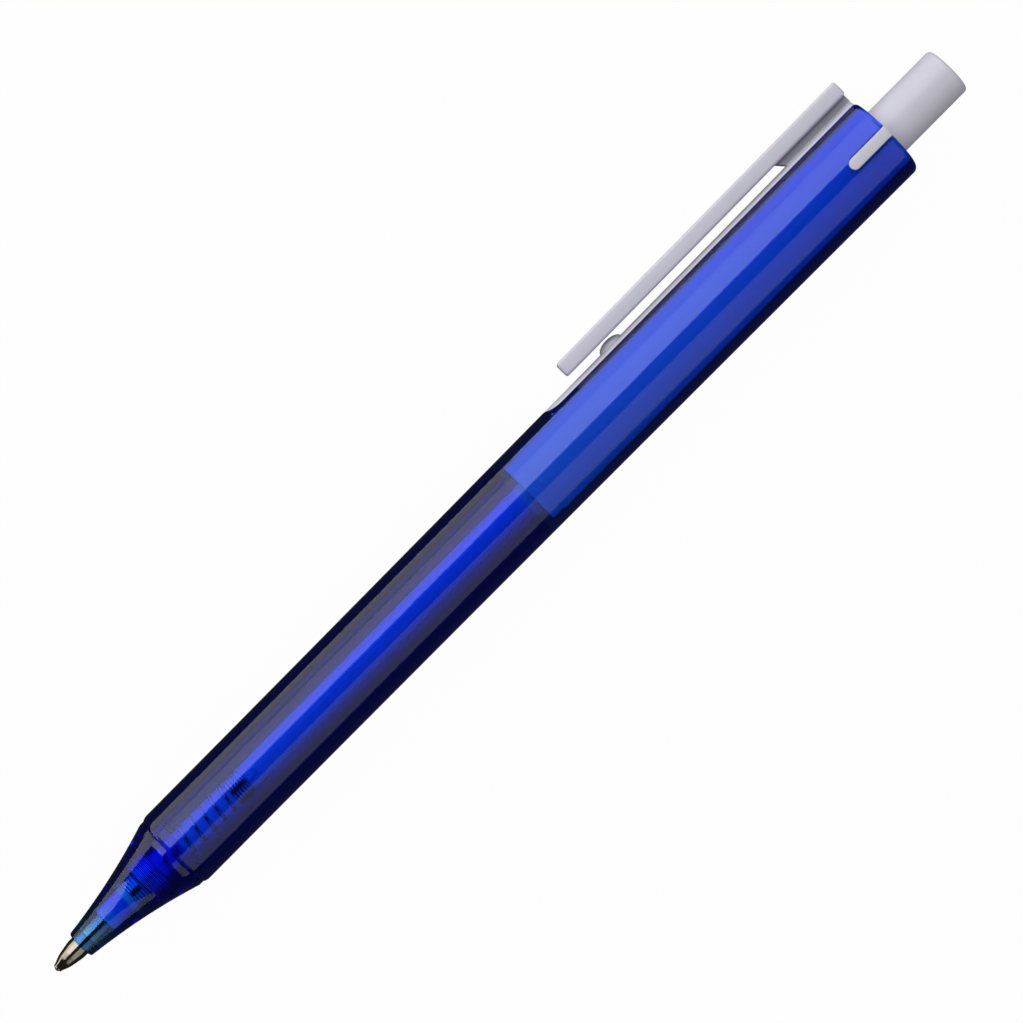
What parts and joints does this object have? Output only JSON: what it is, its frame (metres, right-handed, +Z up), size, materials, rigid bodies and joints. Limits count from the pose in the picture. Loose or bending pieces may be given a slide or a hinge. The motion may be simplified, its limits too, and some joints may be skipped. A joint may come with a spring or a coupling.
{
  "type": "retractable ballpoint pen",
  "caption": "Retractable ballpoint pen with a translucent blue barrel and nose, light grey clip and push button, lying on its side with the nib out.",
  "frame": {"origin": "centre of the footprint, on the surface that the pen lies on", "axes": "+X along the pen towards the push button, +Z up, and the clip on the +Y side, rolled down to the surface"},
  "size_m": [0.144, 0.0136, 0.011],
  "materials": {
    "translucent_blue": "clear tinted moulding, polished",
    "light_grey_plastic": "smooth satin moulding",
    "white_plastic": "white moulding",
    "spring_steel": "drawn wire",
    "refill_plastic": "extruded white tube",
    "holder_plastic": "smooth white moulding",
    "nickel_silver": "turned, bright",
    "carbide": "polished",
    "ink": "wet paste",
    "grease": "clear grease"
  },
  "bodies": {
    "housing": {"barrel": "translucent_blue", "guide_sleeve": "light_grey_plastic", "clip_root": "light_grey_plastic", "spring": "spring_steel"},
    "nose": {"nose_cone": "translucent_blue"},
    "refill": {"refill_tube": "refill_plastic", "tip_holder": "holder_plastic", "nib": "nickel_silver", "ink_column": "ink", "ink_follower": "grease"},
    "ball": {"writing_ball": "carbide"},
    "rotor": {"cam_rotor": "white_plastic"},
    "button": {"push_button": "light_grey_plastic"},
    "clip": {"clip_arm": "light_grey_plastic"}
  },
  "joints": [
    {"name": "refill_slide", "type": "slide", "parent": "housing", "child": "refill", "axis": [1, 0, 0], "range_m": [-0.0015, 0.005], "stiffness_N_per_m": 200, "deforming": ["spring"]},
    {"name": "button_press", "type": "slide", "parent": "housing", "child": "button", "axis": [1, 0, 0], "range_m": [-0.0015, 0.005]},
    {"name": "rotor_turn", "type": "hinge", "parent": "refill", "child": "rotor", "pos_m": [0.03698, -0.00137, 0.00548], "axis": [1, 0, 0], "continuous": true},
    {"name": "ball_roll", "type": "hinge", "parent": "refill", "child": "ball", "pos_m": [-0.07153, -0.00137, 0.00548], "axis": [0, 0.4513, 0.8924], "continuous": true},
    {"name": "clip_flex", "type": "hinge", "parent": "housing", "child": "clip", "pos_m": [0.05033, 0.00597, 0.00177], "axis": [0, -0.4513, -0.8924], "range_deg": [0, 4], "stiffness_Nm_per_rad": 2},
    {"name": "nose_off", "type": "slide", "parent": "housing", "child": "nose", "axis": [-1, 0, 0], "range_m": [0, 0.021]}
  ],
  "couplings": [
    {"joint": "button_press", "follows": "refill_slide", "ratio": 1}
  ]
}
